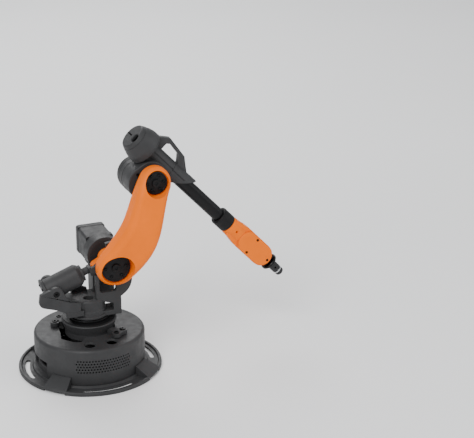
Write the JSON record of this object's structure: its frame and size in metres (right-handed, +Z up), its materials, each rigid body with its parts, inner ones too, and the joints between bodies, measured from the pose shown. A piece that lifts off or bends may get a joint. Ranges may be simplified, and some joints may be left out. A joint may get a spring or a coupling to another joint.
{
  "type": "desktop robot arm",
  "caption": "Six-axis desktop robot arm on a round base, with a spring balancer, an orange upper arm and wrist, and a plain tool socket.",
  "frame": {"origin": "centre of the base's underside", "axes": "+Z up, +X the way the arm reaches at rest, -Y the side that the base's vents look at"},
  "size_m": [0.3819, 0.1944, 0.3326],
  "materials": {
    "grey_casting": "fine satin texture, dark grey",
    "motor_grey": "satin, mid grey",
    "orange_shell": "semi-gloss orange",
    "black_plastic": "satin black",
    "black_tube": "black anodised",
    "steel": "machined",
    "brass": "machined",
    "circuit_board": "green board",
    "belt_rubber": "matt black"
  },
  "bodies": {
    "base": {"base_flange": "grey_casting", "base_cover": "grey_casting", "bottom_plate": "black_plastic", "control_board": "circuit_board", "j1_motor": "motor_grey", "j1_housing": "grey_casting", "j1_housing_bolt_1": "black_tube", "j1_housing_bolt_2": "black_tube", "j1_housing_bolt_3": "black_tube", "j1_housing_bolt_4": "black_tube", "j1_reducer": "black_plastic", "power_socket": "black_plastic", "data_socket": "steel"},
    "button": {"power_button": "black_plastic"},
    "turret": {"turret_casting": "grey_casting", "j1_output_shaft": "black_tube", "j2_reducer": "motor_grey", "j2_motor": "motor_grey", "j2_motor_cap": "black_plastic", "j2_bearing": "steel", "balancer_pivot_near": "steel", "balancer_pivot_far": "steel"},
    "upper_arm": {"upper_arm_shell": "orange_shell", "j2_output_disc": "black_plastic", "j3_output_disc": "black_plastic", "j2_output_shaft": "steel", "shoulder_ring": "motor_grey", "j3_output_shaft": "steel", "elbow_ring": "motor_grey", "balancer_crank": "orange_shell"},
    "barrel": {"balancer_barrel": "grey_casting", "balancer_end_plate": "grey_casting", "balancer_spring": "steel"},
    "rod": {"balancer_rod": "grey_casting", "balancer_piston": "steel"},
    "forearm": {"elbow_casting": "grey_casting", "j3_bearing": "steel", "j3_motor": "motor_grey", "j3_motor_cover": "motor_grey", "j4_motor": "black_plastic", "j4_motor_cap": "grey_casting", "forearm_sleeve": "grey_casting", "j4_bearing_rear": "steel", "j4_bearing_front": "steel"},
    "forearm_roll": {"forearm_tube": "black_tube", "tube_collar": "black_plastic", "wrist_housing": "orange_shell", "wrist_cover_near": "orange_shell", "wrist_cover_far": "orange_shell", "j5_motor": "motor_grey", "j5_belt": "belt_rubber"},
    "belt_pulley": {"j5_motor_pulley": "brass"},
    "wrist": {"wrist_block": "black_plastic", "j5_shaft": "steel", "j5_wrist_pulley": "brass", "j6_motor": "motor_grey"},
    "tool": {"tool_flange": "black_tube", "tool_socket": "motor_grey", "tool_ring": "steel", "tool_tip": "motor_grey"}
  },
  "joints": [
    {"name": "base_turn", "type": "hinge", "parent": "base", "child": "turret", "pos_m": [0, 0, 0.077], "axis": [0, 0, 1], "range_deg": [-160, 160]},
    {"name": "shoulder", "type": "hinge", "parent": "turret", "child": "upper_arm", "pos_m": [0.0285, 0, 0.154], "axis": [0, 1, 0], "range_deg": [-60, 43]},
    {"name": "elbow", "type": "hinge", "parent": "upper_arm", "child": "forearm", "pos_m": [0.08511, 0, 0.26656], "axis": [0, -1, 0], "range_deg": [-40, 135]},
    {"name": "forearm_roll", "type": "hinge", "parent": "forearm", "child": "forearm_roll", "pos_m": [0.14388, 0, 0.23932], "axis": [0.682, 0, -0.7314], "range_deg": [-180, 180]},
    {"name": "wrist_pitch", "type": "hinge", "parent": "forearm_roll", "child": "wrist", "pos_m": [0.24788, 0, 0.12779], "axis": [0, -1, 0], "range_deg": [-100, 100]},
    {"name": "tool_roll", "type": "hinge", "parent": "wrist", "child": "tool", "pos_m": [0.26221, 0, 0.11243], "axis": [0.682, 0, -0.7314], "range_deg": [-360, 360]},
    {"name": "belt_pulley_turn", "type": "hinge", "parent": "forearm_roll", "child": "belt_pulley", "pos_m": [0.22776, 0, 0.14937], "axis": [0, -1, 0], "range_deg": [-101, 101]},
    {"name": "balancer_swing", "type": "hinge", "parent": "turret", "child": "barrel", "pos_m": [-0.05, 0, 0.122], "axis": [0, 1, 0], "range_deg": [-14, 14]},
    {"name": "balancer_rod_swing", "type": "hinge", "parent": "upper_arm", "child": "rod", "pos_m": [0.0124, 0, 0.1446], "axis": [0, 1, 0], "range_deg": [-55, 75]},
    {"name": "power_press", "type": "slide", "parent": "base", "child": "button", "axis": [0, -1, 0], "range_m": [0, 0.0025], "stiffness_N_per_m": 200}
  ],
  "couplings": [
    {"joint": "balancer_swing", "follows": "shoulder", "ratio": -0.2},
    {"joint": "balancer_rod_swing", "follows": "shoulder", "ratio": -1.2},
    {"joint": "belt_pulley_turn", "follows": "wrist_pitch", "ratio": 1}
  ]
}
